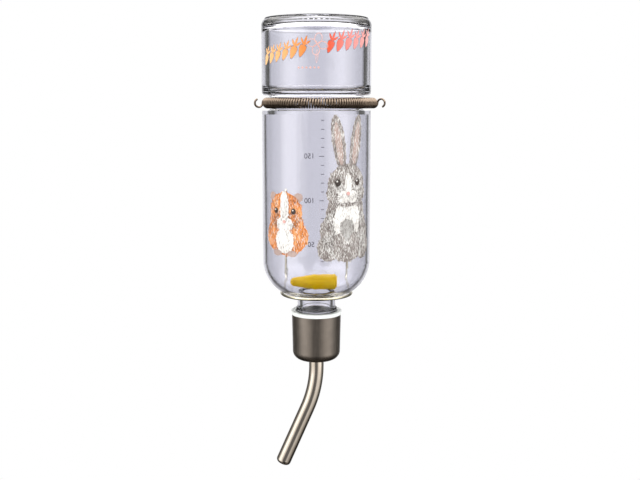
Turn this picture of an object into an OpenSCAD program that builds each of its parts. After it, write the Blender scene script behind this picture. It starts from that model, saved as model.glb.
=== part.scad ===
// Drinking bottle for rabbits and other small cage animals.
// A glass bottle hangs neck down in a bent wire bracket, a coil spring round its waist clips
// to the cage, and a steel screw cap carries a bent drinking tube with a ball valve.
//
// Frame: millimetres, +Z up, the front faces -Y. The origin is on the centre line of the
// cage bar that the bracket hooks over, midway between the two hooks.

/* [Bottle] */
// Outside diameter of the glass
bottle_d = 55; // [50:0.5:62]
// Height of the straight side, from the shoulder up to the base
body_h = 121.6; // [100:0.1:150]
// Radius of the rounded shoulder
shoulder_r = 19.2; // [17:0.1:22]
// Thickness of the side and shoulder
wall = 1.8; // [1.4:0.1:2.4]
// Thickness of the side above the waist, where the glass is heavier
upper_wall = 3.6; // [2.4:0.1:4.5]
// Thickness of the base
base_t = 3.4; // [2.5:0.1:6]
// Radius of the outer edge of the base
base_edge_r = 3.5; // [2:0.1:5]
// Depth of the hollow in the middle of the base
punt_h = 2; // [1:0.1:3]
// Radius of the hollow where it meets the base
punt_r = 17; // [12:0.5:18]
// Outside diameter of the neck
neck_d = 19.6; // [17:0.1:21]
// Length of the neck below the shoulder
neck_h = 28.7; // [24:0.1:34]
// Thickness of the neck
neck_wall = 2.2; // [1.6:0.1:2.6]

/* [Waist groove] */
// Height of the groove's middle above the shoulder
groove_h = 80; // [60:0.1:90]
// Depth of the groove
groove_depth = 4.1; // [3:0.1:5]
// Radius of the groove's lips and of its inner corners
groove_r = 1.6; // [0.8:0.1:1.8]

/* [Spring] */
// Outside diameter of the coil
spring_d = 5.4; // [4.4:0.1:6]
// Diameter of the spring's wire
spring_wire_d = 1; // [0.7:0.05:1.1]
// Gap between one turn and the next
turn_gap = 0.24; // [0.2:0.01:1]
// Angle round the bottle from the front to the coil's left end
spring_left_reach = 68; // [45:1:85]
// Angle round the bottle from the front to where the coil runs straight on, on the right
spring_right_reach = 60; // [45:1:80]
// Length of the straight run at the coil's right end
spring_run = 12.5; // [0:0.5:20]
// Radius of the open hook at each end
hook_r = 2; // [1.6:0.1:2.6]
// Angle that each end hook turns through
hook_turn = 250; // [180:5:280]

/* [Wire bracket] */
// Diameter of the bracket's wire
wire_d = 1.5; // [1.2:0.1:2]
// Radius of the seat ring, at the middle of its wire
ring_r = 18.1; // [17:0.1:20]
// Drop from the cage bar to the seat ring
bracket_drop = 48; // [35:0.5:60]
// Radius of the bend from each leg into its upright, at the middle of the wire
leg_bend_r = 4; // [2:0.1:6]
// Diameter of the cage bar that the hooks take
cage_bar_d = 3.5; // [2:0.1:4]
// Length of the hooks' straight tails behind the bar
hook_tail = 8; // [3:0.5:15]

/* [Cap] */
// Amount by which the shell is narrower at its closed end
shell_draft = 0.8; // [0.2:0.1:1.2]
// Height of the steel shell
shell_h = 24.2; // [20:0.1:26]
// Thickness of the shell's sheet
shell_t = 0.5; // [0.4:0.05:0.7]
// Outside radius of the shell's closed end
shell_edge_r = 4.5; // [3:0.1:5]
// Height of the plastic rim that shows above the shell
rim_h = 1.8; // [1.2:0.1:4]
// Amount by which the rim stands out past the shell
rim_overhang = 0.3; // [0.1:0.1:1.5]
// Thickness of the insert's wall at its open end
insert_wall = 1.3; // [1.1:0.1:2]
// Thickness of the insert's floor
insert_floor_t = 2.5; // [1.5:0.1:3.5]
// Thickness of the sealing washer
washer_t = 2; // [1.5:0.1:3]

/* [Drinking tube] */
// Outside diameter of the tube
tube_d = 7.8; // [6.5:0.1:8.2]
// Thickness of the tube's wall
tube_t = 0.6; // [0.5:0.05:0.7]
// Straight length between the cap and the bend
tube_drop = 4; // [2:0.5:20]
// Radius of the bend, at the middle of the tube
tube_bend_r = 54; // [25:1:65]
// Angle of the bend
tube_bend = 25; // [10:1:35]
// Straight length beyond the bend, to the mouthpiece
tube_reach = 32.5; // [28:0.5:40]
// Turn of the bent end from the left towards the front
tube_turn = 15; // [0:1:90]
// Width of the mouthpiece's lip, which holds the ball in
tip_lip = 0.5; // [0.4:0.05:0.9]

/* [Float] */
// Length of the float
float_l = 24.6; // [18:0.1:28]
// Diameter of the float
float_d = 8.6; // [7:0.1:10]
// Diameter of the float's narrow end
float_nose_d = 5; // [4:0.1:6]
// Length over which the float narrows
float_taper_l = 12.8; // [8:0.1:15]
// Bevel round the float's blunt end
float_bevel = 1.1; // [0.5:0.1:1.5]
// Distance of the float's blunt end to the right of the bottle's middle
float_end_x = 10.8; // [8:0.1:13]

/* [Clearances] */
// Gap between the bottle's shoulder and the seat ring
seat_gap = 0.15; // [0.1:0.05:0.4]
// Gap between the spring and the groove's floor
spring_gap = 0.35; // [0.3:0.05:0.8]
// Gap between the spring and each side of the groove
groove_gap = 1.1; // [1:0.1:2.2]
// Gap between the back of the bottle and the bracket's uprights
upright_gap = 0.5; // [0.3:0.1:3]
// Gap all round between pieces that are pushed together
fit_gap = 0.05; // [0.02:0.01:0.1]
// Gap between the neck and the insert, which the screw thread fills
thread_gap = 1.15; // [1:0.05:1.3]
// Gap between the bead on the neck and the top of the cap
bead_gap = 0.25; // [0.1:0.05:1]
// Gap all round the washer inside the insert
washer_gap = 0.6; // [0.2:0.1:1]
// Gap between the tube's flange and the inside of the neck
flange_gap = 1.4; // [0.5:0.1:2]
// Gap between the valve balls and the inside of the tube
ball_play = 0.3; // [0.2:0.05:0.5]
// Gap between the valve balls and their seat
ball_gap = 0.05; // [0.02:0.01:0.1]
// Gap under the float where it rests on the shoulder
float_gap = 0.6; // [0.4:0.1:1.5]

/* [Hidden] */
$fn = 48;

// Radius that stands for a sharp edge, and how far a cut runs past what it cuts
sharp_r = 0.01;
cut_past = 1;

bottle_r = bottle_d / 2;
neck_r = neck_d / 2;
bore_r = neck_r - neck_wall;
wire_r = wire_d / 2;
spring_r = spring_d / 2;
spring_wire_r = spring_wire_d / 2;
tube_r = tube_d / 2;
tube_bore_r = tube_r - tube_t;
ball_r = tube_bore_r - ball_play;
tip_bore_r = ball_r - tip_lip;
float_r = float_d / 2;

// The bracket: hooks over the bar, seat ring below it
hook_bend_r = cage_bar_d / 2 + wire_r + 2 * fit_gap;
ring_z = -bracket_drop;
axis_y = -(hook_bend_r + wire_r + upright_gap + bottle_r);

// The bottle: its shoulder rests on the seat ring
shoulder_c = bottle_r - shoulder_r;
seat_reach = shoulder_r + wire_r + seat_gap;
shoulder_z = ring_z + sqrt(pow(seat_reach, 2) - pow(ring_r - shoulder_c, 2));
base_z = shoulder_z + body_h;
groove_z = shoulder_z + groove_h;
mouth_z = shoulder_z - shoulder_r - neck_h;
groove_half = spring_r + groove_gap;
groove_floor_r = bottle_r - groove_depth;
waist_r = groove_floor_r - wall;
cavity_r = bottle_r - wall;
upper_cavity_r = bottle_r - upper_wall;
cavity_edge_r = 2 * groove_r;
punt_sphere_r = (pow(punt_r, 2) + pow(punt_h, 2)) / (2 * punt_h);

// The cap: the mouth presses on the washer, which lies on the insert's floor
washer_top = mouth_z - fit_gap;
floor_z = washer_top - washer_t;
insert_z = floor_z - insert_floor_t;
shell_z = insert_z - shell_t;
shell_top = shell_z + shell_h;
rim_top = shell_top + rim_h;
rim_edge_r = 0.6;
insert_bore_r = neck_r + thread_gap;
washer_r = insert_bore_r - washer_gap;
insert_r = insert_bore_r + insert_wall;
shell_r = insert_r + fit_gap + shell_t;
rim_r = shell_r + rim_overhang;
tube_hole_r = tube_r + 2 * fit_gap;

// The bead round the neck stands just clear of the cap
bead_r = 0.9;
bead_z = rim_top + bead_gap + bead_r;

// The tube: its flange lies on the washer
flange_t = 0.8;
flange_r = bore_r - flange_gap;
bend_z = shell_z - tube_drop;

// The mouthpiece: the tube's end turns inwards to a lip, on whose inner edge the ball sits
tip_round_r = 2.2;
throat_r = tip_round_r - tube_t;
throat_c = tube_r - tip_round_r;
lip_z = tip_round_r - sqrt(pow(throat_r, 2) - pow(tip_bore_r - throat_c, 2));

// The valve balls, measured up the tube from the mouthpiece's end
ball_seat = lip_z + sqrt(pow(ball_r + ball_gap, 2) - pow(tip_bore_r, 2));
upper_ball_seat = ball_seat + 2 * ball_r + ball_gap;

// The coil: its middle line is an arc round the waist, and a straight run on the right.
// A place along it is its distance from the front of the bottle.
turn_r = spring_r - spring_wire_r;
coil_r = groove_floor_r + spring_gap + spring_r;
spring_pitch = spring_wire_d + turn_gap;
coil_start = -spring_left_reach * PI / 180 * coil_r;
run_start = spring_right_reach * PI / 180 * coil_r;
turns = floor((run_start + spring_run - coil_start) / spring_pitch);

// Where two bent lengths meet, one laps into the other by an angle and is thinner by a hair
join_lap = 1.5;
join_gap = 0.015;

// The float lies across the neck, its blunt end to the right, clear of the rounded shoulder
function shoulder_rise(x) =
    let (r = shoulder_r - wall) r - sqrt(pow(r, 2) - pow(max(0, x - shoulder_c), 2));
float_z = shoulder_z - shoulder_r + wall + float_gap + float_r
    + max(shoulder_rise(float_end_x - float_bevel), shoulder_rise(float_l - float_taper_l - float_end_x));

// Fills the corner between a wall and a floor, both on the positive axes
module corner_fill(r) {
    difference() {
        square(r);
        translate([r, r]) circle(r);
    }
}

// A disc's half section from the axis to radius r, with its lower and upper edges rounded
module disc_section(r, z_low, z_high, low_edge_r, high_edge_r) {
    translate([0, z_low + low_edge_r])
        square([r, z_high - z_low - low_edge_r - high_edge_r]);
    translate([0, z_low]) square([r - low_edge_r, z_high - z_low]);
    translate([r - low_edge_r, z_low + low_edge_r]) circle(low_edge_r);
    translate([r - high_edge_r, z_high - high_edge_r]) circle(high_edge_r);
}

// The rounded shoulder's half section, with its outside at radius r from the arc's middle
module shoulder_section(r) {
    intersection() {
        translate([shoulder_c, shoulder_z]) circle(r, $fn = 96);
        translate([0, shoulder_z - r]) square([shoulder_c + r, r]);
    }
    translate([0, shoulder_z - r]) square([shoulder_c, r]);
}

module bottle_outside() {
    disc_section(bottle_r, groove_z + groove_half, base_z, groove_r, base_edge_r);
    disc_section(bottle_r, shoulder_z, groove_z - groove_half, sharp_r, groove_r);
    translate([0, shoulder_z]) square([bottle_r, groove_r]);
    translate([0, shoulder_z]) square([groove_floor_r, body_h / 2 + groove_h / 2]);
    for (side = [-1, 1])
        translate([groove_floor_r, groove_z + side * groove_half]) mirror([0, (side + 1) / 2])
            corner_fill(groove_r);
    shoulder_section(shoulder_r);
    translate([0, mouth_z]) square([neck_r, shoulder_z - mouth_z]);
    translate([neck_r, bead_z]) circle(bead_r);
}

module bottle_inside() {
    lip = groove_half + wall;
    base_inside = base_z - base_t;
    difference() {
        disc_section(upper_cavity_r, groove_z + lip, base_inside, cavity_edge_r, base_edge_r);
        translate([0, base_inside - punt_h + punt_sphere_r]) circle(punt_sphere_r, $fn = 180);
    }
    disc_section(cavity_r, shoulder_z - cut_past, groove_z - lip, sharp_r, cavity_edge_r);
    translate([0, groove_z - 2 * lip]) square([waist_r, 4 * lip]);
    shoulder_section(shoulder_r - wall);
    translate([0, mouth_z - cut_past]) square([bore_r, shoulder_z - mouth_z]);
}

module bottle() {
    color([0.78, 0.8, 0.84, 0.45]) translate([0, axis_y, 0])
        rotate_extrude($fn = 96) difference() {
            bottle_outside();
            bottle_inside();
            translate([0, base_z - punt_h + punt_sphere_r]) circle(punt_sphere_r, $fn = 180);
        }
}

module level_float() {
    nose_r = float_nose_d / 2;
    color("gold") translate([float_end_x, axis_y, float_z]) rotate([0, -90, 0])
        rotate_extrude() {
            polygon([
                [0, 0], [float_r - float_bevel, 0], [float_r, float_bevel],
                [float_r, float_l - float_taper_l], [nose_r, float_l - nose_r], [0, float_l - nose_r],
            ]);
            intersection() {
                translate([0, float_l - nose_r]) circle(nose_r);
                translate([0, float_l - nose_r]) square(nose_r);
            }
        }
}

// The coil's direction at a place along it, as an angle round the bottle from the front
function coil_angle(place) = min(place, run_start) / coil_r * 180 / PI;

// A point at the outermost or innermost line of the coil, at a place along it
function coil_point(place, side) =
    let (angle = coil_angle(place), beyond = max(0, place - run_start))
        (coil_r + side * turn_r) * [sin(angle), -cos(angle)] + beyond * [cos(angle), sin(angle)];

// Part of a ring of spring wire, standing on its edge. A lapped end runs into the piece
// that it meets by join_lap degrees, and its wire is thinner by a hair, to lie inside it.
module wire_arc(radius, angle, start, lap) {
    rotate([90, 0, 0]) rotate_extrude(angle = angle + lap, start = start - lap / 2)
        translate([radius, 0]) circle(r = spring_wire_r - (lap > 0 ? join_gap : 0), $fn = 16);
}

// Half a turn of spring wire between two points, over the top or underneath
module half_turn(from, to, over) {
    middle = (from + to) / 2;
    span = from - middle;
    translate([middle.x, middle.y, 0]) rotate([0, 0, atan2(span.y, span.x)])
        wire_arc(norm(span), 180, over ? 0 : 180, over ? 0 : 2 * join_lap);
}

// The open hook that leaves the coil at its outermost line and curls outwards
module end_hook(place, upwards) {
    middle = coil_point(place, 1 + hook_r / turn_r);
    translate([middle.x, middle.y, 0]) rotate([0, 0, coil_angle(place) - 90])
        wire_arc(hook_r, hook_turn, upwards ? 180 - hook_turn : 180, upwards ? 0 : 2 * join_lap);
}

module spring() {
    color("rosybrown") translate([0, axis_y, groove_z]) {
        for (i = [0:turns - 1]) {
            place = coil_start + i * spring_pitch;
            inside = coil_point(place + spring_pitch / 2, -1);
            half_turn(coil_point(place, 1), inside, true);
            half_turn(coil_point(place + spring_pitch, 1), inside, false);
        }
        end_hook(coil_start, false);
        end_hook(coil_start + turns * spring_pitch, true);
    }
}

// Half of the bracket, on the side of positive X
module bracket_side() {
    upright_y = -hook_bend_r;
    leg_end = upright_y - leg_bend_r;
    translate([0, axis_y, ring_z]) rotate_extrude(angle = 90, start = 270)
        translate([ring_r, 0]) circle(wire_r);
    translate([ring_r, axis_y, ring_z]) rotate([-90, 0, 0])
        cylinder(r = wire_r, h = leg_end - axis_y);
    translate([ring_r, leg_end, ring_z + leg_bend_r]) rotate([90, 0, 90])
        rotate_extrude(angle = 90, start = 270) translate([leg_bend_r, 0]) circle(wire_r);
    translate([ring_r, upright_y, ring_z + leg_bend_r])
        cylinder(r = wire_r, h = bracket_drop - leg_bend_r);
    translate([ring_r, 0, 0]) rotate([90, 0, 90])
        rotate_extrude(angle = 180) translate([hook_bend_r, 0]) circle(wire_r);
    translate([ring_r, hook_bend_r, -hook_tail]) cylinder(r = wire_r, h = hook_tail);
}

module bracket() {
    color("lightgoldenrodyellow") {
        bracket_side();
        mirror([1, 0, 0]) bracket_side();
    }
}

// The cup shape of the shell's outside, or of its inside when moved in by inset
module cup_section(inset) {
    low_r = shell_r - shell_draft / 2 - inset;
    high_r = shell_r - inset;
    edge_r = shell_edge_r - inset;
    z_low = shell_z + inset;
    polygon([
        [0, z_low + edge_r], [low_r, z_low + edge_r], [high_r, shell_top], [0, shell_top],
    ]);
    translate([0, z_low]) square([low_r - edge_r, edge_r]);
    intersection() {
        translate([low_r - edge_r, z_low + edge_r]) circle(edge_r);
        translate([low_r - edge_r, z_low]) square(edge_r);
    }
}

module cap_shell() {
    color("dimgray") translate([0, axis_y, 0]) rotate_extrude($fn = 96) difference() {
        cup_section(0);
        cup_section(shell_t);
        translate([0, shell_z - cut_past]) square([tube_hole_r, shell_h]);
    }
}

module thread_insert() {
    color("whitesmoke") translate([0, axis_y, 0]) rotate_extrude($fn = 96) difference() {
        union() {
            cup_section(shell_t + fit_gap);
            disc_section(rim_r, shell_top, rim_top, sharp_r, rim_edge_r);
        }
        translate([0, floor_z]) square([insert_bore_r, shell_h + rim_h]);
        translate([0, shell_z]) square([tube_hole_r, shell_h]);
    }
}

module washer() {
    color("gainsboro") translate([0, axis_y, floor_z]) difference() {
        cylinder(r = washer_r, h = washer_t);
        translate([0, 0, -cut_past]) cylinder(r = tube_hole_r, h = washer_t + 2 * cut_past);
    }
}

// Places its children at the mouthpiece's end, with +Z pointing up the tube
module at_tip() {
    translate([0, axis_y, bend_z]) rotate([0, 0, tube_turn]) translate([-tube_bend_r, 0, 0])
        rotate([0, tube_bend, 0]) translate([tube_bend_r, 0, -tube_reach]) children();
}

// The tube's wall in half section, from one height to another
module tube_section(z_low, z_high) {
    translate([tube_bore_r, z_low]) square([tube_t, z_high - z_low]);
}

module mouthpiece_section() {
    difference() {
        intersection() {
            translate([throat_c, tip_round_r]) circle(tip_round_r);
            translate([tip_bore_r, 0]) square([tube_r - tip_bore_r, tip_round_r]);
        }
        translate([throat_c, tip_round_r]) circle(throat_r);
    }
}

module drinking_tube() {
    flange_z = washer_top + fit_gap;
    color("silver") {
        translate([0, axis_y, 0]) rotate_extrude() {
            tube_section(bend_z, flange_z + flange_t);
            translate([tube_bore_r, flange_z]) square([flange_r - tube_bore_r, flange_t]);
        }
        translate([0, axis_y, bend_z]) rotate([0, 0, tube_turn])
            translate([-tube_bend_r, 0, 0]) rotate([-90, 0, 0])
                rotate_extrude(angle = tube_bend + join_lap / 4, start = -join_lap / 8)
                    translate([tube_bend_r, 0]) difference() {
                        circle(tube_r - join_gap);
                        circle(tube_bore_r + join_gap);
                    }
        at_tip() rotate_extrude() {
            tube_section(tip_round_r, tube_reach);
            mouthpiece_section();
        }
    }
}

module tip_ball() {
    color("slategray") at_tip() translate([0, 0, ball_seat]) sphere(ball_r);
}

module upper_ball() {
    color("slategray") at_tip() translate([0, 0, upper_ball_seat]) sphere(ball_r);
}

bottle();
level_float();
spring();
bracket();
cap_shell();
thread_insert();
washer();
drinking_tube();
tip_ball();
upper_ball();
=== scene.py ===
# %% [markdown]
# # A glass drinking bottle for rabbits
#
# The bottle hangs neck down in a bent wire bracket. A coil spring lies in the groove round its
# waist, and a steel cap below it carries a bent tube with a ball at its tip. The frame that is
# loaded here holds every real size. This script adds what the eye needs: glass that bends light,
# brushed and polished steel, printed ink, screw threads and the coil itself.

# %% Load the frame
import math
import random

import bmesh
import bpy
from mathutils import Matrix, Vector


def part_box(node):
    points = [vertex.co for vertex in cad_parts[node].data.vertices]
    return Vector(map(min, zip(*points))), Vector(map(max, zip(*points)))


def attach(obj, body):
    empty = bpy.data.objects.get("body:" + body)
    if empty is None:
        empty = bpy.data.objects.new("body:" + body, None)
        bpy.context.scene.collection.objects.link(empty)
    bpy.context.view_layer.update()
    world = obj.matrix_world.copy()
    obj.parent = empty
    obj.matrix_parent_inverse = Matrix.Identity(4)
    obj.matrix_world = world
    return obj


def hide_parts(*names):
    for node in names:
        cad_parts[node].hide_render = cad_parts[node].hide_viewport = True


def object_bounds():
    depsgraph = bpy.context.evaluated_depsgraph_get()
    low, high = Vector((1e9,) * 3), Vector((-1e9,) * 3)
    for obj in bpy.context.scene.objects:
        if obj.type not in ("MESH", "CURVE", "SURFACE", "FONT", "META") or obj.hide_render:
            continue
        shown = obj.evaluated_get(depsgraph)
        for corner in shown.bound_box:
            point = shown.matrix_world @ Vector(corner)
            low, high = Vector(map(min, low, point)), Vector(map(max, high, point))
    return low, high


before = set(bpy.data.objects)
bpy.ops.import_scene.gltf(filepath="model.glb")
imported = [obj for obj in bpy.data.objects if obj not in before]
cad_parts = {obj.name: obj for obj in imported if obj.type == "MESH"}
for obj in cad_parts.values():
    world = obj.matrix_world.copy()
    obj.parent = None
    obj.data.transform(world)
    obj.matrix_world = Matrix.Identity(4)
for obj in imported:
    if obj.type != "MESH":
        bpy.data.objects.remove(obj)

cad_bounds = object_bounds()

# %% [markdown]
# ## Sizes
#
# Everything is placed from the boxes of the loaded pieces, so it stays in step with them. Blender
# works in metres here, and a bottle is a small thing, so sizes are written in millimetres and
# multiplied by MM.

# %% Sizes taken from the frame
MM = 0.001
glass_low, glass_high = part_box("bottle")
glass_r = (glass_high.x - glass_low.x) / 2
axis = Vector(((glass_low.x + glass_high.x) / 2, (glass_low.y + glass_high.y) / 2, 0))
base_z = glass_high.z
mouth_z = glass_low.z
spring_low, spring_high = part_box("spring")
waist_z = (spring_low.z + spring_high.z) / 2
tube_low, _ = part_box("drinking_tube")
scene = bpy.context.scene
print("glass radius", round(glass_r / MM, 2), "mm, waist at", round(waist_z / MM, 2), "mm")

# %% [markdown]
# ## Two small helpers
#
# A colour picker shows sRGB numbers, but a shader works in linear light, so one function turns a
# hex colour into linear numbers. A second one adds any node, sets its sockets, and links what it
# is given.


# %% Colours and nodes
def colour(code):
    """A colour such as "c5c3ce" as linear red, green, blue and alpha."""
    channels = [int(code[i:i + 2], 16) / 255 for i in (0, 2, 4)]
    linear = [c / 12.92 if c <= 0.04045 else ((c + 0.055) / 1.055) ** 2.4 for c in channels]
    return (*linear, 1.0)


def add(tree, kind, sockets=None, **settings):
    """Adds a node. A socket is given a value, another node's output, or another node."""
    made = tree.nodes.new(kind)
    for name, value in settings.items():
        setattr(made, name, value)
    for name, value in (sockets or {}).items():
        if isinstance(value, bpy.types.Node):
            value = value.outputs[0]
        if isinstance(value, bpy.types.NodeSocket):
            tree.links.new(value, made.inputs[name])
        else:
            made.inputs[name].default_value = value
    return made


def ramp(tree, factor, stops):
    """A colour ramp through stops of (position, colour)."""
    made = add(tree, "ShaderNodeValToRGB", {0: factor})
    elements = made.color_ramp.elements
    while len(elements) < len(stops):
        elements.new(0.5)
    for element, (position, value) in zip(elements, stops):
        element.position = position
        element.color = value
    return made


def new_material(name, **shader):
    """A material whose plain settings sit on the Principled shader's own sockets."""
    made = bpy.data.materials.new(name)
    made.use_nodes = True
    tree = made.node_tree
    tree.nodes.clear()
    surface = add(tree, "ShaderNodeBsdfPrincipled", shader)
    add(tree, "ShaderNodeOutputMaterial", {"Surface": surface})
    return made, tree, surface


def millimetres(tree, stretch=(1, 1, 1)):
    """Object coordinates in millimetres, stretched along each axis."""
    place = add(tree, "ShaderNodeTexCoord").outputs["Object"]
    return add(tree, "ShaderNodeMapping", {"Vector": place, "Scale": [s / MM for s in stretch]})


print("the grey 808080 is", round(colour("808080")[0], 3), "in linear light")

# %% [markdown]
# ## Glass
#
# The bottle is soda-lime glass blown in a mould. It is clear, with a trace of grey-violet where
# the wall is thick. A thin see-through sheet would be quicker to render, but the loaded piece has
# both faces of its wall, so a true glass shader can bend light at each of them as the real one
# does. Blown walls are never quite even, so a slow, shallow bump bends the reflections a little.

# %% Soda-lime glass, blown in a mould
glass, tree, surface = new_material("soda_lime_glass_blown", **{
    "Base Color": colour("eeeef4"), "Roughness": 0.0, "IOR": 1.5, "Transmission Weight": 1.0,
})
waves = add(tree, "ShaderNodeTexNoise", {"Vector": millimetres(tree), "Scale": 0.06, "Detail": 1.0})
bump = add(tree, "ShaderNodeBump", {"Height": waves, "Strength": 0.12, "Distance": 0.4 * MM})
tree.links.new(bump.outputs["Normal"], surface.inputs["Normal"])
print("made", glass.name)

# %% [markdown]
# ## Steel
#
# Four steels are at work. The cap's shell is drawn from stainless sheet and brushed up and down,
# which spreads each reflection into soft upright bands. The tube is polished stainless, the
# spring is drawn wire, darker between its turns, and the bracket is bright plated wire. A plain
# metal with one roughness would look cast, so noise stretched along the brush drives colour,
# roughness and bump together. The lines are really about 0.05 mm apart and are drawn ten times
# coarser, so that they show.


# %% A steel with drawn lines
def steel(name, tint, dark_tint, rough, line_scale, line_strength):
    """A metal with fine lines; line_scale gives their number per millimetre along each axis."""
    made, tree, surface = new_material(name, Metallic=1.0)
    lines = add(tree, "ShaderNodeTexNoise", {
        "Vector": millimetres(tree, line_scale), "Scale": 1.0, "Detail": 4.0, "Roughness": 0.6,
    })
    cloud = add(tree, "ShaderNodeTexNoise", {
        "Vector": millimetres(tree), "Scale": 0.22, "Detail": 3.0,
    })
    both = add(tree, "ShaderNodeMath", {0: lines, 1: cloud}, operation="MULTIPLY")
    tints = ramp(tree, both, [(0.05, colour(dark_tint)), (0.4, colour(tint))])
    gloss = add(tree, "ShaderNodeMapRange", {
        "Value": lines, "From Min": 0.3, "From Max": 0.7,
        "To Min": rough * 0.8, "To Max": rough * 1.3,
    })
    relief = add(tree, "ShaderNodeBump", {
        "Height": lines, "Strength": line_strength, "Distance": 0.03 * MM,
    })
    tree.links.new(tints.outputs["Color"], surface.inputs["Base Color"])
    tree.links.new(gloss.outputs[0], surface.inputs["Roughness"])
    tree.links.new(relief.outputs["Normal"], surface.inputs["Normal"])
    return made


shell_steel = steel("stainless_sheet_drawn_and_brushed", "8d857e", "7b736d", 0.36,
                    (3.0, 3.0, 0.05), 0.5)
tube_steel = steel("stainless_tube_polished", "d6cdc3", "c2b8ad", 0.11, (1.2, 1.2, 0.06), 0.2)
spring_steel = steel("spring_wire_drawn", "8a7b6e", "6f6155", 0.26, (1.5, 1.5, 1.5), 0.3)
bracket_steel = steel("steel_wire_nickel_plated", "d8d3bd", "b9b39b", 0.16, (0.8, 0.8, 0.8), 0.2)
ball_steel = steel("steel_ball_ground", "d0d0d0", "bdbdbd", 0.1, (1.0, 1.0, 1.0), 0.1)
for made in (shell_steel, tube_steel, spring_steel, bracket_steel, ball_steel):
    print("made", made.name)

# %% [markdown]
# ## Plastics
#
# The float is moulded polystyrene, yellow right through, with the faint flow lines of the mould.
# Light soaks into it a little. It is also given a weak glow of its own colour: painted light that
# makes up for the lamp light that the glass holds back. The thread insert is white polypropylene,
# slightly milky, and the washer is silicone, which is softer and duller. All three differ only in
# numbers, so one function makes them.


# %% A moulded plastic
def plastic(name, tint, shade, rough, flow, bump_strength, **extra):
    """A plastic with flow lines of two tints; extra holds more of the shader's own settings."""
    made, tree, surface = new_material(name, **extra)
    streaks = add(tree, "ShaderNodeTexNoise", {
        "Vector": millimetres(tree, flow), "Scale": 1.0, "Detail": 3.0,
    })
    grain = add(tree, "ShaderNodeTexNoise", {
        "Vector": millimetres(tree), "Scale": 3.0, "Detail": 2.0,
    })
    tints = ramp(tree, streaks, [(0.3, colour(shade)), (0.62, colour(tint))])
    gloss = add(tree, "ShaderNodeMapRange", {
        "Value": streaks, "From Min": 0.3, "From Max": 0.7,
        "To Min": rough * 0.85, "To Max": rough * 1.2,
    })
    relief = add(tree, "ShaderNodeBump", {
        "Height": grain, "Strength": bump_strength, "Distance": 0.02 * MM,
    })
    tree.links.new(tints.outputs["Color"], surface.inputs["Base Color"])
    tree.links.new(gloss.outputs[0], surface.inputs["Roughness"])
    tree.links.new(relief.outputs["Normal"], surface.inputs["Normal"])
    return made


# The float's emission is a painted glow that stands in for the lamp light the glass holds back
float_plastic_with_painted_glow = plastic("polystyrene_moulded_yellow", "f7cd00", "e9b400", 0.38, (0.12, 0.9, 0.9), 0.4,
                        **{"Subsurface Weight": 0.15, "Subsurface Radius": (2 * MM, 1.4 * MM, 0.3 * MM),
                           "Emission Color": colour("f7cd00"), "Emission Strength": 0.26})
insert_plastic = plastic("polypropylene_moulded_white", "c6cac8", "b8bebc", 0.4, (0.3, 0.3, 0.3), 0.3,
                         **{"Subsurface Weight": 0.2, "Subsurface Radius": (1.5 * MM,) * 3})
washer_silicone = plastic("silicone_sheet_punched", "dfe3e4", "cfd4d6", 0.55, (0.5, 0.5, 0.5), 0.5,
                          **{"Subsurface Weight": 0.3, "Subsurface Radius": (1.5 * MM,) * 3})
for made in (float_plastic_with_painted_glow, insert_plastic, washer_silicone):
    print("made", made.name)


# %% Give the loaded pieces their finishes
def finish(node, material):
    """Puts a material in every slot of a loaded piece."""
    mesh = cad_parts[node].data
    if not mesh.materials:
        mesh.materials.append(material)
    for index in range(len(mesh.materials)):
        mesh.materials[index] = material


finishes = {
    "bottle": glass, "level_float": float_plastic_with_painted_glow, "spring": spring_steel,
    "bracket": bracket_steel, "cap_shell": shell_steel, "thread_insert": insert_plastic,
    "washer": washer_silicone, "drinking_tube": tube_steel,
    "tip_ball": ball_steel, "upper_ball": ball_steel,
}
for node, material in finishes.items():
    finish(node, material)
print(len(finishes), "loaded pieces have their finish")

# %% [markdown]
# ## Growing pieces with Geometry Nodes
#
# A coil, a screw thread, a ring of studs and a coat of hairs all follow a rule. A loop in Python
# could place every point, but a node tree keeps the rule and its named sizes together. Each tree
# runs once, its result becomes a plain mesh, and the modifier is thrown away.


# %% Run a node tree and keep its mesh
def new_tree(name, sizes):
    """A geometry tree with one named input for each size, and its Group Input node."""
    made = bpy.data.node_groups.new(name, "GeometryNodeTree")
    made.interface.new_socket("Geometry", in_out="INPUT", socket_type="NodeSocketGeometry")
    for size, value in sizes.items():
        kind = "NodeSocketInt" if isinstance(value, int) else "NodeSocketFloat"
        made.interface.new_socket(size, in_out="INPUT", socket_type=kind)
    made.interface.new_socket("Geometry", in_out="OUTPUT", socket_type="NodeSocketGeometry")
    return made, add(made, "NodeGroupInput")


def end_tree(tree, geometry, material):
    """Realizes the geometry, gives it a material and sends it out."""
    real = add(tree, "GeometryNodeRealizeInstances", {0: geometry})
    painted = add(tree, "GeometryNodeSetMaterial", {"Geometry": real, "Material": material})
    add(tree, "NodeGroupOutput", {0: painted})


def grow(name, tree, sizes, mesh=None):
    """Runs the tree on a mesh and returns the result as a plain piece at the origin."""
    seed = bpy.data.objects.new(name, mesh or bpy.data.meshes.new(name))
    scene.collection.objects.link(seed)
    modifier = seed.modifiers.new("grow", "NODES")
    modifier.node_group = tree
    for socket in tree.interface.items_tree:
        if socket.in_out == "INPUT" and socket.name in sizes:
            modifier[socket.identifier] = sizes[socket.name]
    bpy.context.view_layer.update()
    graph = bpy.context.evaluated_depsgraph_get()
    result = bpy.data.meshes.new_from_object(seed.evaluated_get(graph))
    bpy.data.objects.remove(seed)
    result.name = name
    piece = bpy.data.objects.new(name, result)
    scene.collection.objects.link(piece)
    print(name, len(result.polygons), "faces")
    return piece


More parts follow.
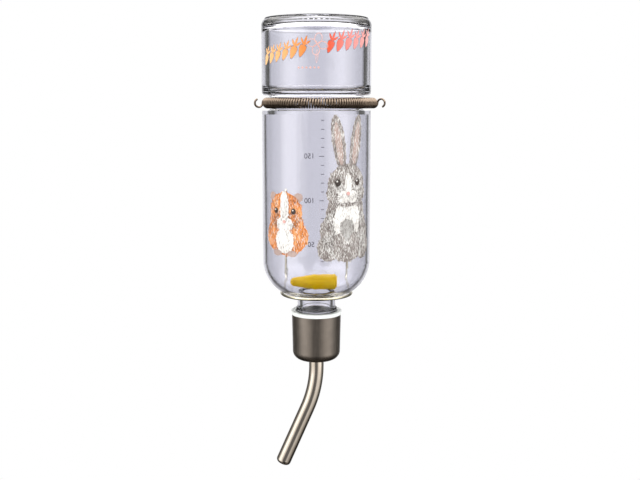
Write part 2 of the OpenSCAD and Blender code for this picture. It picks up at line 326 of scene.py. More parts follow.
# %% [markdown]
# ## The coil spring
#
# One length of 1 mm wire is wound close and bent round the waist. A point on the wire is known by
# two angles: how far round the bottle it is, and how far round the turn. Each end leaves the coil
# at its outermost line and curls into an open hook. A Screw modifier could wind a straight coil
# and a bend could curve it, but that would flatten the wire, so the tree places the points of
# three lines by the rule, and Curve to Mesh gives them the wire's thickness.

# %% Sizes of the coil
WIRE_R = 0.5 * MM
TURN_R = (spring_high.z - spring_low.z) / 2 - WIRE_R
PITCH = 1.24 * MM
HOOK_R = 2.0 * MM
HOOK_TURN = math.radians(250)
LEFT_REACH = math.radians(68)
RIGHT_REACH = math.radians(60)
RUN = 12.5 * MM
TURN_POINTS = 24
HOOK_POINTS = 30
# The frontmost line of the coil lies straight in front of the bottle's axis
coil_r = axis.y - spring_low.y - WIRE_R - TURN_R
coil_start = -LEFT_REACH * coil_r
run_start = RIGHT_REACH * coil_r
turns = math.floor((run_start + RUN - coil_start) / PITCH)
coil_end = coil_start + turns * PITCH
print("coil of", turns, "turns on a radius of", round(coil_r / MM, 2), "mm")


# %% The coil's node tree
def round_waist(tree, angle, reach_out, height):
    """A point at an angle round the bottle from its front, at a distance from its axis."""
    sine = add(tree, "ShaderNodeMath", {0: angle}, operation="SINE")
    cosine = add(tree, "ShaderNodeMath", {0: angle}, operation="COSINE")
    right = add(tree, "ShaderNodeMath", {0: sine, 1: reach_out}, operation="MULTIPLY")
    back = add(tree, "ShaderNodeMath", {0: cosine, 1: reach_out}, operation="MULTIPLY")
    front = add(tree, "ShaderNodeMath", {0: back, 1: -1.0}, operation="MULTIPLY")
    return add(tree, "ShaderNodeCombineXYZ", {"X": right, "Y": front, "Z": height})


def wire_line(tree, points, place_point):
    """A line of points, each put where place_point says from its share of the way along."""
    line = add(tree, "GeometryNodeMeshLine", {"Count": points})
    index = add(tree, "GeometryNodeInputIndex")
    share = add(tree, "ShaderNodeMath", {0: index, 1: points - 1.0}, operation="DIVIDE")
    curve = add(tree, "GeometryNodeMeshToCurve", {"Mesh": line})
    return add(tree, "GeometryNodeSetPosition", {"Geometry": curve, "Position": place_point(share)})


def coil_tree():
    """The tree that winds the spring, and its sizes."""
    sizes = {
        "Coil radius": coil_r, "Turn radius": TURN_R, "Wire radius": WIRE_R, "Hook radius": HOOK_R,
    }
    tree, given = new_tree("coil_spring", sizes)
    radius, turn_r, wire_r, hook_r = (given.outputs[s] for s in sizes)
    outer = add(tree, "ShaderNodeMath", {0: radius, 1: turn_r}, operation="ADD")
    hook_middle = add(tree, "ShaderNodeMath", {0: outer, 1: hook_r}, operation="ADD")

    def on_coil(place, middle, circle_r, turn):
        """A point on a circle round a place along the coil, on past the arc where that ends."""
        along = add(tree, "ShaderNodeMath", {0: place, 1: run_start}, operation="MINIMUM")
        angle = add(tree, "ShaderNodeMath", {0: along, 1: radius}, operation="DIVIDE")
        cosine = add(tree, "ShaderNodeMath", {0: turn}, operation="COSINE")
        sine = add(tree, "ShaderNodeMath", {0: turn}, operation="SINE")
        out = add(tree, "ShaderNodeMath", {0: cosine, 1: circle_r, 2: middle},
                  operation="MULTIPLY_ADD")
        high = add(tree, "ShaderNodeMath", {0: sine, 1: circle_r}, operation="MULTIPLY")
        on_arc = round_waist(tree, angle, out, high)
        beyond = add(tree, "ShaderNodeMath", {0: place, 1: along}, operation="SUBTRACT")
        sideways = add(tree, "ShaderNodeMath", {0: angle, 1: math.pi / 2}, operation="ADD")
        on_run = round_waist(tree, sideways, beyond, 0.0)
        return add(tree, "ShaderNodeVectorMath", {0: on_arc, 1: on_run}, operation="ADD")

    def coil_point(share):
        place = add(tree, "ShaderNodeMath", {0: share, 1: coil_end - coil_start, 2: coil_start},
                    operation="MULTIPLY_ADD")
        turn = add(tree, "ShaderNodeMath", {0: share, 1: 2 * math.pi * turns}, operation="MULTIPLY")
        return on_coil(place, radius, turn_r, turn)

    def hook_point(place, sweep):
        def put(share):
            turn = add(tree, "ShaderNodeMath", {0: share, 1: sweep, 2: math.pi},
                       operation="MULTIPLY_ADD")
            return on_coil(place, hook_middle, hook_r, turn)
        return put

    lines = add(tree, "GeometryNodeJoinGeometry")
    for made in (
        wire_line(tree, turns * TURN_POINTS + 1, coil_point),
        wire_line(tree, HOOK_POINTS, hook_point(coil_start, HOOK_TURN)),
        wire_line(tree, HOOK_POINTS, hook_point(coil_end, -HOOK_TURN)),
    ):
        tree.links.new(made.outputs[0], lines.inputs[0])
    section = add(tree, "GeometryNodeCurvePrimitiveCircle", {"Resolution": 10, "Radius": wire_r})
    wire = add(tree, "GeometryNodeCurveToMesh", {
        "Curve": lines, "Profile Curve": section.outputs["Curve"], "Fill Caps": True,
    })
    centred = add(tree, "GeometryNodeTransform", {
        "Geometry": wire, "Translation": (axis.x, axis.y, waist_z),
    })
    smooth = add(tree, "GeometryNodeSetShadeSmooth", {"Geometry": centred})
    end_tree(tree, smooth, spring_steel)
    return tree, sizes


# %% Wind the spring
spring_wire = grow("spring_wire", *coil_tree())
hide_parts("spring")
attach(spring_wire, "spring")

# %% [markdown]
# ## Ink on the glass
#
# The decoration is screen printed and fired on. Each printed shape starts flat, in millimetres
# across and up, is cut into narrow upright strips, and is then rolled round the glass, which only
# bends one way, so strips are enough. A picture wrapped round the glass would be simpler, but a
# mesh keeps a clean edge from close by. Ink has a little thickness, and each colour lies on the
# one below.

# %% Roll flat shapes round the glass
INK = 0.03 * MM        # thickness of one ink
LAYER = 0.04 * MM      # step from one ink to the next
OFF_GLASS = 0.01 * MM  # gap under the lowest ink
STRIP = 1.2            # width of a strip, in millimetres


def flat_mesh(name, outlines):
    """Fills closed outlines of (across, up) points, in millimetres, facing the viewer."""
    shape = bmesh.new()
    for outline in outlines:
        shape.faces.new([shape.verts.new((u, v, 0)) for u, v in outline])
    bmesh.ops.recalc_face_normals(shape, faces=shape.faces)
    for face in shape.faces:
        if face.normal.z < 0:
            face.normal_flip()
    bmesh.ops.triangulate(shape, faces=shape.faces)
    mesh = bpy.data.meshes.new(name)
    shape.to_mesh(mesh)
    shape.free()
    return mesh


def roll(name, mesh, material, layer, turn=0.0):
    """Rolls a flat mesh round the glass and gives the ink its thickness."""
    shape = bmesh.new()
    shape.from_mesh(mesh)
    flat = shape.loops.layers.uv.get("flat") or shape.loops.layers.uv.new("flat")
    across = [v.co.x for v in shape.verts]
    steps = range(math.ceil(min(across) / STRIP), math.floor(max(across) / STRIP) + 1)
    for step in steps:
        everything = shape.verts[:] + shape.edges[:] + shape.faces[:]
        bmesh.ops.bisect_plane(
            shape, geom=everything, plane_co=(step * STRIP, 0, 0), plane_no=(1, 0, 0),
        )
    for face in shape.faces:
        for loop in face.loops:
            loop[flat].uv = loop.vert.co.xy
    radius = glass_r + OFF_GLASS + layer * LAYER
    for vert in shape.verts:
        angle = turn + vert.co.x * MM / glass_r
        vert.co = (
            axis.x + radius * math.sin(angle), axis.y - radius * math.cos(angle),
            waist_z + vert.co.y * MM,
        )
    shape.to_mesh(mesh)
    shape.free()
    mesh.name = name
    if not mesh.materials:
        mesh.materials.append(material)
    piece = bpy.data.objects.new(name, mesh)
    scene.collection.objects.link(piece)
    skin = piece.modifiers.new("ink", "SOLIDIFY")
    skin.thickness = INK
    skin.offset = 1.0
    bpy.context.view_layer.update()
    graph = bpy.context.evaluated_depsgraph_get()
    solid = bpy.data.meshes.new_from_object(piece.evaluated_get(graph))
    piece.modifiers.clear()
    piece.data = solid
    solid.name = name
    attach(piece, "bottle")
    print(name, len(solid.polygons), "faces")


def oval(u, v, half_w, half_h, tilt=0.0, fur=0.0, points=56, seed=1):
    """The outline of an oval; fur roughens its edge by that many millimetres."""
    rough = random.Random(seed)
    turn = math.radians(tilt)
    outline = []
    for i in range(points):
        angle = 2 * math.pi * i / points
        grow_by = fur * rough.uniform(-0.3, 1) * (i % 2)
        x, y = (half_w + grow_by) * math.cos(angle), (half_h + grow_by) * math.sin(angle)
        outline.append((
            u + x * math.cos(turn) - y * math.sin(turn), v + x * math.sin(turn) + y * math.cos(turn),
        ))
    return outline


def leaf(u, v, length, width, tilt, points=14):
    """A pointed leaf that stands on (u, v) and leans by tilt degrees to the right."""
    lean = math.radians(tilt)
    sides = []
    for side in (1, -1):
        shares = [i / points for i in range(points + 1)]
        run = [(side * width / 2 * math.sin(math.pi * s) ** 0.8, length * s) for s in shares]
        sides += run if side == 1 else run[-2:0:-1]
    return [
        (u + x * math.cos(lean) + y * math.sin(lean), v - x * math.sin(lean) + y * math.cos(lean))
        for x, y in sides
    ]


# %% [markdown]
# ## Inks
#
# Fired ink is a matt coloured glass that comes out darker than it was mixed. The carrots run from
# light orange to pink along the band, which one ramp across the print gives without a seam. The
# animals' coats are mottled by two noises, one for soft patches and one for hairs, because a
# single flat grey would look like paper.


# %% An ink that changes along the band, and inks for coats
INK_DEPTH = 0.66  # how dark an ink comes out of the kiln


def ink(name, stops, stretch):
    """An ink whose colour wanders between stops, with grain stretched along the hairs."""
    stops = [(place, (*(INK_DEPTH * part for part in shade[:3]), 1)) for place, shade in stops]
    made, tree, surface = new_material(name, **{"Roughness": 0.45, "Specular IOR Level": 0.4})
    flat = add(tree, "ShaderNodeUVMap", uv_map="flat")
    hairs_at = add(tree, "ShaderNodeMapping", {"Vector": flat, "Scale": stretch})
    hairs = add(tree, "ShaderNodeTexNoise", {"Vector": hairs_at, "Scale": 1.0, "Detail": 4.0})
    patches = add(tree, "ShaderNodeTexNoise", {"Vector": flat, "Scale": 0.16, "Detail": 2.0})
    both = add(tree, "ShaderNodeMath", {0: hairs, 1: patches}, operation="ADD")
    half = add(tree, "ShaderNodeMath", {0: both, 1: 0.5}, operation="MULTIPLY")
    tints = ramp(tree, half, stops)
    tree.links.new(tints.outputs["Color"], surface.inputs["Base Color"])
    relief = add(tree, "ShaderNodeBump", {"Height": hairs, "Strength": 0.2, "Distance": 0.02 * MM})
    tree.links.new(relief.outputs["Normal"], surface.inputs["Normal"])
    return made


def band_ink(half_width):
    """The ink that turns from light orange on the left to pink on the right."""
    made, tree, surface = new_material("fired_ink_orange_to_pink", Roughness=0.4)
    flat = add(tree, "ShaderNodeUVMap", uv_map="flat")
    across = add(tree, "ShaderNodeSeparateXYZ", {0: flat}).outputs["X"]
    share = add(tree, "ShaderNodeMapRange", {
        "Value": across, "From Min": -half_width, "From Max": half_width,
    })
    tints = ramp(tree, share, [
        (0.0, colour("fbc98e")), (0.28, colour("f0a25c")), (0.45, colour("e07a1f")),
        (0.6, colour("e4512a")), (0.78, colour("ee8a84")), (1.0, colour("f6b0ac")),
    ])
    mottle = add(tree, "ShaderNodeTexNoise", {"Vector": flat, "Scale": 1.2, "Detail": 2.0})
    deep = add(tree, "ShaderNodeMapRange", {
        "Value": mottle, "From Min": 0.3, "From Max": 0.7,
        "To Min": 0.86 * INK_DEPTH, "To Max": 1.1 * INK_DEPTH,
    })
    shaded = add(tree, "ShaderNodeMix", {0: 1.0, 6: tints, 7: deep},
                 data_type="RGBA", blend_type="MULTIPLY")
    tree.links.new(shaded.outputs[2], surface.inputs["Base Color"])
    return made


BAND = 31.0  # half the band's length
band_inks = band_ink(BAND)
line_ink = ink("fired_ink_grey_line", [
    (0.35, colour("6d6670")), (0.65, colour("8b8590")),
], (1, 1, 1))
scale_ink = ink("fired_ink_scale_grey", [
    (0.35, colour("75707f")), (0.65, colour("8d8898")),
], (1, 1, 1))
grey_coat = ink("fired_ink_grey_fur", [
    (0.36, colour("6c6360")), (0.5, colour("8d8480")), (0.62, colour("b2aba6")),
], (1.6, 0.3, 1))
grey_hair = ink("fired_ink_grey_hair", [
    (0.35, colour("5d5350")), (0.65, colour("857a76")),
], (1, 0.3, 1))
pale_coat = ink("fired_ink_pale_fur", [
    (0.36, colour("cfccc8")), (0.5, colour("e6e5e2")), (0.62, colour("f6f6f4")),
], (1.6, 0.3, 1))
ginger_coat = ink("fired_ink_ginger_fur", [
    (0.36, colour("b8652c")), (0.5, colour("df8a45")), (0.62, colour("eeb07a")),
], (1.6, 0.3, 1))
brown_hair = ink("fired_ink_brown_hair", [
    (0.35, colour("7a4320")), (0.65, colour("a5622f")),
], (1, 0.3, 1))
lining_ink = ink("fired_ink_ear_lining", [
    (0.35, colour("a38d86")), (0.65, colour("bda79f")),
], (1, 0.3, 1))
dark_ink = ink("fired_ink_dark_brown", [
    (0.35, colour("2a211e")), (0.65, colour("4a3d38")),
], (1, 1, 1))
rose_ink = ink("fired_ink_rose", [(0.35, colour("cf9a93")), (0.65, colour("e3b8b0"))], (1, 1, 1))
print(sum(m.name.startswith("fired_ink") for m in bpy.data.materials), "inks are mixed")

# %% [markdown]
# ## The band of carrots
#
# A row of carrots with leafy tops climbs gently to the right above the waist. A clover drawn in
# outline stands in the middle, between the two halves of the row, with six dots below it. One
# function draws a carrot, so a change to its shape changes the whole row.

# %% Print the band
def carrot(u, v, tall, lean):
    """A carrot whose tip is at (u, v), with three leaves on its top, leaning to the right."""
    wide = 0.34 * tall
    body = []
    for i in range(25):
        share = i / 24
        half = wide / 2 * min(1.0, 1.35 * share ** 0.62) * (1 - max(0, share - 0.86) ** 2 * 22)
        body.append((half, share * 0.6 * tall))
    outline = body + [(-x, y) for x, y in reversed(body[1:])]
    turn = math.radians(lean)
    turned = [
        (u + x * math.cos(turn) + y * math.sin(turn), v - x * math.sin(turn) + y * math.cos(turn))
        for x, y in outline
    ]
    top = (u + 0.6 * tall * math.sin(turn), v + 0.6 * tall * math.cos(turn))
    return [turned] + [leaf(*top, length * tall, 0.1 * tall, lean + spread)
                       for length, spread in ((0.5, 0), (0.4, -38), (0.4, 38))]


def about_middle(outline, factor):
    """An outline made larger or smaller about its own middle."""
    mid = Vector((sum(p[0] for p in outline), sum(p[1] for p in outline))) / len(outline)
    return [tuple(mid + (Vector(p) - mid) * factor) for p in outline]


LEAN = 20
BAND_V = 22.7       # height of the row above the waist, in millimetres
BAND_CLIMB = 0.145  # how far it climbs for each millimetre across
TALL, LESS_TALL = 9.6, 8.8
row = []
for along in (-30.5, -26.0, -21.5, -17.0, -12.5, -8.0, 5.5, 10.2, 14.9, 19.6, 24.3, 29.0):
    row += carrot(along, BAND_V + BAND_CLIMB * along, TALL if abs(along) < 15 else LESS_TALL, LEAN)
edges = [about_middle(outline, 1.12) for outline in row]
roll("printed_carrots", flat_mesh("printed_carrots", row), band_inks, 1)
roll("printed_carrot_edges", flat_mesh("printed_carrot_edges", edges), line_ink, 0)


def ring_strips(outline, width):
    """A closed line of a given width that follows an outline, as four-sided pieces."""
    count = len(outline)
    mid = Vector((sum(p[0] for p in outline) / count, sum(p[1] for p in outline) / count))
    inner = [Vector(p) + (mid - Vector(p)).normalized() * width for p in outline]
    return [
        [outline[i], outline[(i + 1) % count], tuple(inner[(i + 1) % count]), tuple(inner[i])]
        for i in range(count)
    ]


CLOVER_U, CLOVER_V = 0.4, 27.5
CLOVER_TILT = 12
LOBE_OUT = 2.7
clover = []
for turn in (0, 90, 180, 270):
    lobe_at = math.radians(turn + CLOVER_TILT)
    lobe_u = LOBE_OUT * math.sin(lobe_at) + CLOVER_U
    lobe_v = CLOVER_V + LOBE_OUT * math.cos(lobe_at)
    clover += ring_strips(oval(lobe_u, lobe_v, 1.9, 2.6, -turn - CLOVER_TILT, points=32), 0.35)
clover += ring_strips(leaf(0.0, 18.6, 6.6, 1.3, 4), 0.45)
clover += [oval(u, 16.6, 0.5, 0.5, points=12) for u in (-8.5, -6.6, -4.7, -2.8, -0.9, 1.0)]
roll("printed_clover", flat_mesh("printed_clover", clover), rose_ink, 2)

# %% [markdown]
# ## The scale on the back
#
# The level scale is printed on the back wall, so from the front its numbers are mirrored. A step
# of 50 millilitres is as tall as the bore's area makes it, so the ticks are worked out, not drawn.
# The numbers are text turned into a mesh, and are then rolled round the glass as the ticks are.

# %% Print the scale
INNER_R = 25.7     # the bottle's bore, in millimetres
STEP_50 = 50000 / (math.pi * INNER_R ** 2)
FIRST_50 = -76.6   # height of the first mark from the waist
GROOVE_HALF = 6
TICK_LEFT, TICK_HALF = -4.4, 0.16
LONG_TICK, SHORT_TICK = 2.8, 1.8
print("50 millilitres stand", round(STEP_50, 1), "mm tall")
ticks = []
for step in range(-2, 18):
    height = FIRST_50 + step * STEP_50 / 5
    if abs(height) < GROOVE_HALF:
        continue
    low, high = height - TICK_HALF, height + TICK_HALF
    end = TICK_LEFT + (LONG_TICK if step % 5 == 0 else SHORT_TICK)
    ticks.append([(TICK_LEFT, low), (end, low), (end, high), (TICK_LEFT, high)])
roll("printed_scale", flat_mesh("printed_scale", ticks), scale_ink, 0, math.pi)


def number_mesh(text, u, v, height):
    """A printed number as a flat mesh, its left end at (u, v)."""
    curve = bpy.data.curves.new(text, "FONT")
    curve.body = text
    curve.size = height / 0.7
    curve.align_y = "CENTER"
    holder = bpy.data.objects.new(text, curve)
    scene.collection.objects.link(holder)
    bpy.context.view_layer.update()
    graph = bpy.context.evaluated_depsgraph_get()
    mesh = bpy.data.meshes.new_from_object(holder.evaluated_get(graph))
    bpy.data.objects.remove(holder)
    for vert in mesh.vertices:
        vert.co = (vert.co.x + u, vert.co.y + v, 0)
    return mesh


NUMBER_LEFT, NUMBER_TALL = 1.0, 2.8
for step, text in enumerate(("50", "100", "150")):
    mesh = number_mesh(text, NUMBER_LEFT, FIRST_50 + step * STEP_50, NUMBER_TALL)
    mesh.materials.clear()
    roll("printed_" + text, mesh, scale_ink, 0, math.pi)

# %% [markdown]
# ## The animals
#
# A grey rabbit and a ginger guinea pig look straight out of the front. Both are plain pictures of
# any rabbit and any guinea pig, built of ovals with furred edges. Fur could be noise in the ink
# alone, but its strokes would have soft edges, so Geometry Nodes scatters short hairs over each
# coat while it is still flat.


# %% Scatter hairs over a flat coat
def hair_tree(material):
    """The tree that scatters hairs over a flat coat, and its sizes, in millimetres."""
    sizes = {"Hairs per area": 2.0, "Hair length": 1.5, "Seed": 7}
    tree, given = new_tree("coat_hairs", sizes)
    spots = add(tree, "GeometryNodeDistributePointsOnFaces", {
        "Mesh": given.outputs["Geometry"], "Density": given.outputs["Hairs per area"],
        "Seed": given.outputs["Seed"],
    })
    hair = add(tree, "GeometryNodeMeshCircle", {"Vertices": 6, "Radius": 1.0}, fill_type="NGON")
    slim = add(tree, "GeometryNodeTransform", {"Geometry": hair, "Scale": (0.06, 0.5, 1.0)})
    lean = add(tree, "FunctionNodeRandomValue", {2: -0.6, 3: 0.6, "Seed": given.outputs["Seed"]})
    turn = add(tree, "ShaderNodeCombineXYZ", {"Z": lean.outputs[1]})
    long = add(tree, "FunctionNodeRandomValue", {2: 0.5, 3: 1.2, "Seed": 3})
    size = add(tree, "ShaderNodeMath", {0: long.outputs[1], 1: given.outputs["Hair length"]},
               operation="MULTIPLY")
    placed = add(tree, "GeometryNodeInstanceOnPoints", {
        "Points": spots.outputs["Points"], "Instance": slim, "Rotation": turn, "Scale": size,
    })
    end_tree(tree, placed, material)
    return tree, sizes


def coat(name, outlines, base_ink, layer, hairs=()):
    """Prints a coat and scatters hairs over it, each kind given by its ink and its number per area."""
    mesh = flat_mesh(name, outlines)
    for number, (hair_ink, density) in enumerate(hairs):
        tree, sizes = hair_tree(hair_ink)
        sizes.update({"Seed": number + 3 * layer, "Hairs per area": density})
        hair_piece = grow(name + "_hairs_" + str(number), tree, sizes, mesh.copy())
        hair_mesh = hair_piece.data
        bpy.data.objects.remove(hair_piece)
        roll(name + "_hairs_" + str(number), hair_mesh, hair_ink, layer + 1 + number)
    roll(name, mesh, base_ink, layer)


def mirrored(middle, *ovals):
    """Ovals on one side of a middle line, and their mirror images on the other."""
    both = []
    for number, (u, v, half_w, half_h, tilt, fur) in enumerate(ovals):
        for side in (-1, 1):
            seed = number + 9 * side
            both.append(oval(middle + side * u, v, half_w, half_h, side * tilt, fur, seed=seed))
    return both


def whiskers(middle, v, reach):
    """Fine lines that fan out to both sides of a nose."""
    return [
        leaf(middle + side * 2.4, v, reach, 0.16, side * slant, points=6)
        for side in (-1, 1) for slant in (72, 90, 107)
    ]


# %% The rabbit
RABBIT = 16.2  # how far to the right its middle line is, in millimetres
coat("rabbit_ears", mirrored(RABBIT, (5.0, -19, 3.4, 13.6, -9, 0.5)), grey_coat, 0,
     [(grey_hair, 1.2), (pale_coat, 1.4)])
coat("rabbit_ear_linings", mirrored(RABBIT, (5.1, -19.5, 1.7, 10.6, -9, 0.3)), lining_ink, 3,
     [(pale_coat, 1.2)])
coat("rabbit_body", [
    oval(RABBIT, -63, 14.4, 14, fur=0.9, seed=2), oval(RABBIT, -54, 11.5, 13, fur=0.6, seed=3),
] + mirrored(RABBIT, (10.2, -70, 5.6, 6.6, 0, 0.6)), grey_coat, 0, [(grey_hair, 1.6), (pale_coat, 1.6)])
coat("rabbit_bib", [
    oval(RABBIT, -57, 7.4, 11, fur=0.9, seed=5), oval(RABBIT, -62, 5.4, 6, fur=0.9, seed=6),
], pale_coat, 3, [(grey_coat, 0.7)])
coat("rabbit_paws", mirrored(RABBIT, (4.6, -69.5, 3.1, 6.8, 4, 0.6)), grey_coat, 5,
     [(grey_hair, 1.3), (pale_coat, 1.8)])
coat("rabbit_head", [oval(RABBIT, -39.5, 10.6, 10.4, fur=0.6, seed=8)]
     + mirrored(RABBIT, (6.2, -43.5, 5.2, 4.8, 0, 0.6)), grey_coat, 8, [(grey_hair, 1.5), (pale_coat, 1.8)])
coat("rabbit_muzzle", mirrored(RABBIT, (2.4, -45.2, 3.4, 3, 0, 0.3))
     + [oval(RABBIT, -39.5, 1.9, 6, fur=0.4)], pale_coat, 11, [(grey_coat, 0.5)])
roll("rabbit_eyes", flat_mesh("eyes", mirrored(RABBIT, (5.7, -38.2, 1.5, 1.75, 0, 0))), dark_ink, 13)
roll("rabbit_eye_lights", flat_mesh("lights", [
    oval(RABBIT + side * 5.7 - 0.4, -37.5, 0.42, 0.42, points=16) for side in (-1, 1)
]), pale_coat, 14)
roll("rabbit_nose", flat_mesh("nose", [leaf(RABBIT, -44.6, 2.1, 2.2, 0)]), rose_ink, 13)
roll("rabbit_whiskers", flat_mesh("whiskers", whiskers(RABBIT, -45.2, 7.5)), grey_hair, 14)

# %% The guinea pig
CAVY = -16.6   # its middle line, on the left
coat("cavy_body", [oval(CAVY, -64.5, 12.6, 9.6, fur=0.9, seed=21)], ginger_coat, 0,
     [(pale_coat, 0.8), (brown_hair, 0.8)])
coat("cavy_ears", mirrored(CAVY, (7.4, -45.6, 2.6, 2.3, 30, 0.4)), lining_ink, 1)
coat("cavy_head", [oval(CAVY, -52.5, 9.6, 9.4, fur=0.7, seed=22)]
     + mirrored(CAVY, (5.2, -57.5, 5.0, 4.6, 0, 0.6)), ginger_coat, 3,
     [(pale_coat, 0.7), (brown_hair, 1.0)])
coat("cavy_blaze", [
    oval(CAVY, -51, 2.4, 8.6, fur=0.5, seed=24), oval(CAVY, -58.8, 4.8, 3.6, fur=0.5, seed=25),
    oval(CAVY, -67, 5.2, 6.2, fur=0.8, seed=26),
], pale_coat, 6, [(grey_coat, 0.6)])
coat("cavy_paws", mirrored(CAVY, (4.4, -73.2, 2.6, 1.5, 0, 0.3)), lining_ink, 8)
roll("cavy_eyes", flat_mesh("eyes", mirrored(CAVY, (5.2, -52.2, 1.25, 1.4, 0, 0))), dark_ink, 8)
roll("cavy_eye_lights", flat_mesh("lights", [
    oval(CAVY + side * 5.2 - 0.3, -51.7, 0.34, 0.34, points=16) for side in (-1, 1)
]), pale_coat, 9)
roll("cavy_nose", flat_mesh("nose", [leaf(CAVY, -58.4, 1.8, 2.0, 0)]), rose_ink, 8)
roll("cavy_whiskers", flat_mesh("whiskers", whiskers(CAVY, -59, 6)), grey_hair, 9)

# %% [markdown]
# ## Screw thread and base studs
#
# The neck carries a raised thread of two and a half turns, and the insert has its partner half a
# pitch away. A thread could be cut with a Boolean, but glass shows every fault of one, so a ridge
# is laid on the neck. The rim that the bottle stands on has a ring of tiny studs from the mould,
# which keep it from slipping on a table.

# %% Sizes of thread and studs
THREAD_PITCH = 3.0 * MM
THREAD_TURNS = 2.5
THREAD_START = mouth_z + 3 * MM
THREAD_POINTS = 181
NECK_R = 9.8 * MM
INSERT_BORE_R = 10.95 * MM
print("the thread rises", THREAD_TURNS * THREAD_PITCH / MM, "mm")


# %% A thread's node tree
def thread_tree(material):
    """The tree that winds a thread's ridge, and its sizes."""
    sizes = {
        "Radius": NECK_R, "Pitch": THREAD_PITCH, "Turns": THREAD_TURNS, "Ridge": 0.75 * MM,
        "Height": THREAD_START,
    }
    tree, given = new_tree("screw_thread", sizes)
    radius, pitch, turn_count, ridge, height = (given.outputs[s] for s in sizes)
    line = add(tree, "GeometryNodeMeshLine", {"Count": THREAD_POINTS})
    index = add(tree, "GeometryNodeInputIndex")
    share = add(tree, "ShaderNodeMath", {0: index, 1: THREAD_POINTS - 1.0}, operation="DIVIDE")
    turned = add(tree, "ShaderNodeMath", {0: share, 1: turn_count}, operation="MULTIPLY")
    angle = add(tree, "ShaderNodeMath", {0: turned, 1: 2 * math.pi}, operation="MULTIPLY")
    rise = add(tree, "ShaderNodeMath", {0: turned, 1: pitch, 2: height}, operation="MULTIPLY_ADD")
    curve = add(tree, "GeometryNodeMeshToCurve", {"Mesh": line})
    helix = add(tree, "GeometryNodeSetPosition", {
        "Geometry": curve, "Position": round_waist(tree, angle, radius, rise),
    })
    # The ridge fades in and out over its first and last eighth
    arch = add(tree, "ShaderNodeMath", {0: share, 1: 0.5}, operation="SUBTRACT")
    from_end = add(tree, "ShaderNodeMath", {0: arch}, operation="ABSOLUTE")
    fade = add(tree, "ShaderNodeMapRange", {
        "Value": from_end, "From Min": 0.375, "From Max": 0.5, "To Min": 1.0, "To Max": 0.15,
    })
    faded = add(tree, "GeometryNodeSetCurveRadius", {"Curve": helix, "Radius": fade})
    section = add(tree, "GeometryNodeCurvePrimitiveCircle", {"Resolution": 10, "Radius": ridge})
    body = add(tree, "GeometryNodeCurveToMesh", {
        "Curve": faded, "Profile Curve": section.outputs["Curve"], "Fill Caps": True,
    })
    if "Scale" in body.inputs:
        tree.links.new(fade.outputs[0], body.inputs["Scale"])
    centred = add(tree, "GeometryNodeTransform", {
        "Geometry": body, "Translation": (axis.x, axis.y, 0),
    })
    smooth = add(tree, "GeometryNodeSetShadeSmooth", {"Geometry": centred})
    end_tree(tree, smooth, material)
    return tree, sizes


tree, sizes = thread_tree(glass)
neck_thread = grow("neck_thread", tree, sizes)
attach(neck_thread, "bottle")
tree, sizes = thread_tree(insert_plastic)
sizes.update({
    "Radius": INSERT_BORE_R, "Ridge": 0.6 * MM, "Height": THREAD_START + THREAD_PITCH / 2,
})
insert_thread = grow("insert_thread", tree, sizes)
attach(insert_thread, "cap")


# %% A ring of studs on the base
def stud_tree(material):
    """The tree that sets studs in a ring on the base, and its sizes."""
    sizes = {"Ring radius": 23.4 * MM, "Count": 146, "Stud radius": 0.36 * MM}
    tree, given = new_tree("base_studs", sizes)
    ring = add(tree, "GeometryNodeMeshCircle", {
        "Vertices": given.outputs["Count"], "Radius": given.outputs["Ring radius"],
    })
    stud = add(tree, "GeometryNodeMeshIcoSphere", {
        "Radius": given.outputs["Stud radius"], "Subdivisions": 2,
    })
    low = add(tree, "GeometryNodeTransform", {"Geometry": stud.outputs["Mesh"], "Scale": (1, 1, 0.6)})
    placed = add(tree, "GeometryNodeInstanceOnPoints", {"Points": ring, "Instance": low})
    lifted = add(tree, "GeometryNodeTransform", {
        "Geometry": placed, "Translation": (axis.x, axis.y, base_z),
    })
    smooth = add(tree, "GeometryNodeSetShadeSmooth", {"Geometry": lifted})
    end_tree(tree, smooth, material)
    return tree, sizes


base_studs = grow("base_studs", *stud_tree(glass))
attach(base_studs, "bottle")

# %% [markdown]
# ## Stage and light
#
# The floor is pale and plain. Glass and polished steel show what stands round them. Small lamps
# would leave hard white spots on both, so the world has soft upright bands of light and shade, as
# a studio with panels has, and two weak lights only help the prints. The camera itself sees plain
# white behind.

# %% The floor
FLOOR_Z = tube_low.z - 20 * MM
bpy.ops.mesh.primitive_circle_add(vertices=96, radius=6, fill_type="NGON", location=(0, 0, FLOOR_Z))
floor = bpy.context.object
floor.name = "floor"
floor_paint = bpy.data.materials.new("floor_paint")
floor_paint.use_nodes = True
tree = floor_paint.node_tree
tree.nodes.clear()
eye = add(tree, "ShaderNodeLightPath")
matt = add(tree, "ShaderNodeBsdfDiffuse", {"Color": colour("e6e6ea")})
glow = add(tree, "ShaderNodeEmission", {"Color": colour("ffffff"), "Strength": 1.0})
seen = add(tree, "ShaderNodeMixShader", {0: eye.outputs["Is Camera Ray"], 1: matt, 2: glow})
add(tree, "ShaderNodeOutputMaterial", {"Surface": seen})
floor.data.materials.append(floor_paint)
print("floor at", round(FLOOR_Z / MM, 1), "mm")
# Steel and glass look past the floor, at the studio's panels
floor.visible_glossy = False
floor.visible_transmission = False

# %% The world's bands of light
world = bpy.data.worlds.new("studio")
scene.world = world
world.use_nodes = True
tree = world.node_tree
tree.nodes.clear()
around = add(tree, "ShaderNodeTexCoord").outputs["Generated"]
direction = add(tree, "ShaderNodeSeparateXYZ", {0: around})
turned = add(tree, "ShaderNodeMath", {0: direction.outputs["X"], 1: direction.outputs["Y"]},
             operation="ARCTAN2")
from_back = add(tree, "ShaderNodeMath", {0: turned}, operation="ABSOLUTE")
share = add(tree, "ShaderNodeMath", {0: from_back, 1: math.pi}, operation="DIVIDE")
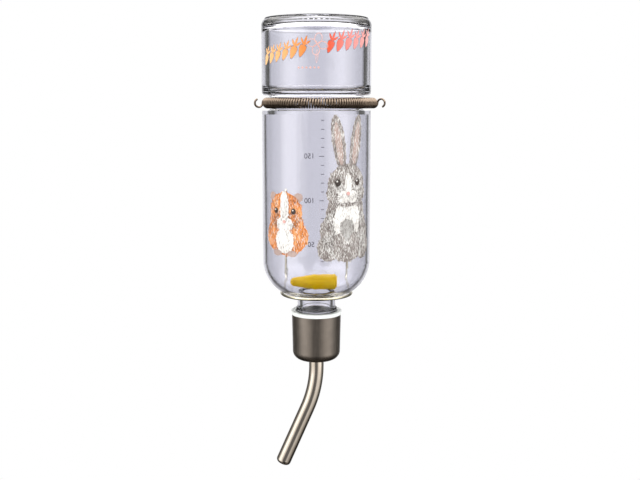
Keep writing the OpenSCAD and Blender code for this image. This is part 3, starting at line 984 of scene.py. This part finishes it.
# From straight behind the bottle, at 0, round either side to the front, at 1
bands = ramp(tree, share, [
    (0.0, (0.9, 0.895, 0.93, 1)), (0.13, (0.9, 0.895, 0.93, 1)), (0.2, (0.11, 0.11, 0.1, 1)),
    (0.34, (0.12, 0.12, 0.11, 1)), (0.44, (0.25, 0.25, 0.24, 1)), (0.54, (0.75, 0.74, 0.70, 1)),
    (0.62, (1.45, 1.41, 1.33, 1)), (0.82, (1.2, 1.17, 1.1, 1)), (0.91, (0.2, 0.195, 0.19, 1)),
    (1.0, (0.18, 0.175, 0.17, 1)),
])
# Below, the studio falls off into the dark. Above, a broad soft panel hangs
height = add(tree, "ShaderNodeMapRange", {
    "Value": direction.outputs["Z"], "From Min": -1.0, "From Max": 1.0,
})
fall = ramp(tree, height, [
    (0.18, (0.12, 0.11, 0.1, 1)), (0.36, (1, 1, 1, 1)), (0.62, (1, 1, 1, 1)), (0.7, (0.5, 0.5, 0.5, 1)),
])
panel = ramp(tree, height, [(0.66, (0, 0, 0, 1)), (0.8, (3.2, 3.15, 3.05, 1))])
shaded = add(tree, "ShaderNodeMix", {0: 1.0, 6: bands, 7: fall},
             data_type="RGBA", blend_type="MULTIPLY")
lit = add(tree, "ShaderNodeMix", {0: 1.0, 6: shaded.outputs[2], 7: panel},
          data_type="RGBA", blend_type="ADD")
eye = add(tree, "ShaderNodeLightPath")
room = add(tree, "ShaderNodeBackground", {"Color": lit.outputs[2], "Strength": 1.0})
white = add(tree, "ShaderNodeBackground", {"Color": (1, 1, 1, 1), "Strength": 1.0})
seen = add(tree, "ShaderNodeMixShader", {0: eye.outputs["Is Camera Ray"], 1: room, 2: white})
add(tree, "ShaderNodeOutputWorld", {"Surface": seen})
print("the world's bands have", len(bands.color_ramp.elements), "stops")


# %% Soft lights
def soft_light(name, place, aim, size, power):
    """A broad soft light that looks from one place to another."""
    lamp = bpy.data.lights.new(name, "AREA")
    lamp.shape = "RECTANGLE"
    lamp.size, lamp.size_y = size
    lamp.energy = power
    holder = bpy.data.objects.new(name, lamp)
    holder.location = place
    holder.rotation_euler = (Vector(aim) - Vector(place)).to_track_quat("-Z", "Y").to_euler()
    scene.collection.objects.link(holder)
    print(name, "light of", power, "W")


middle = Vector((axis.x, axis.y, (cad_bounds[0][2] + cad_bounds[1][2]) / 2))
soft_light("left", middle + Vector((-1.1, -0.6, 0.3)), middle, (0.9, 1.4), 2.5)
soft_light("right", middle + Vector((1.1, -0.5, 0.2)), middle, (0.9, 1.4), 1.5)

# %% [markdown]
# ## Camera
#
# A slightly long lens stands half a metre in front, level with the waist, and tips down to take in
# the tube's tip. Turning it sideways would make the bottle lean, so a tiny shift centres it.

# %% The camera
SENSOR = 36      # width of the sensor, in millimetres
LENS = 50.625    # focal length, in millimetres
SHIFT = 0.005625
PITCH_DOWN = math.radians(8.655)
DISTANCE = 460.1 * MM
camera_data = bpy.data.cameras.new("camera")
camera_data.sensor_width = SENSOR
camera_data.lens = LENS
camera_data.clip_start = 0.01
camera = bpy.data.objects.new("camera", camera_data)
camera.location = (axis.x, axis.y - DISTANCE, waist_z)
camera.rotation_euler = (math.radians(90) - PITCH_DOWN, 0, 0)
camera_data.shift_x = SHIFT
scene.collection.objects.link(camera)
scene.camera = camera
scene.view_settings.view_transform = "Standard"
print("lens of", round(camera_data.lens, 1), "mm,", round(DISTANCE / MM), "mm from the axis")
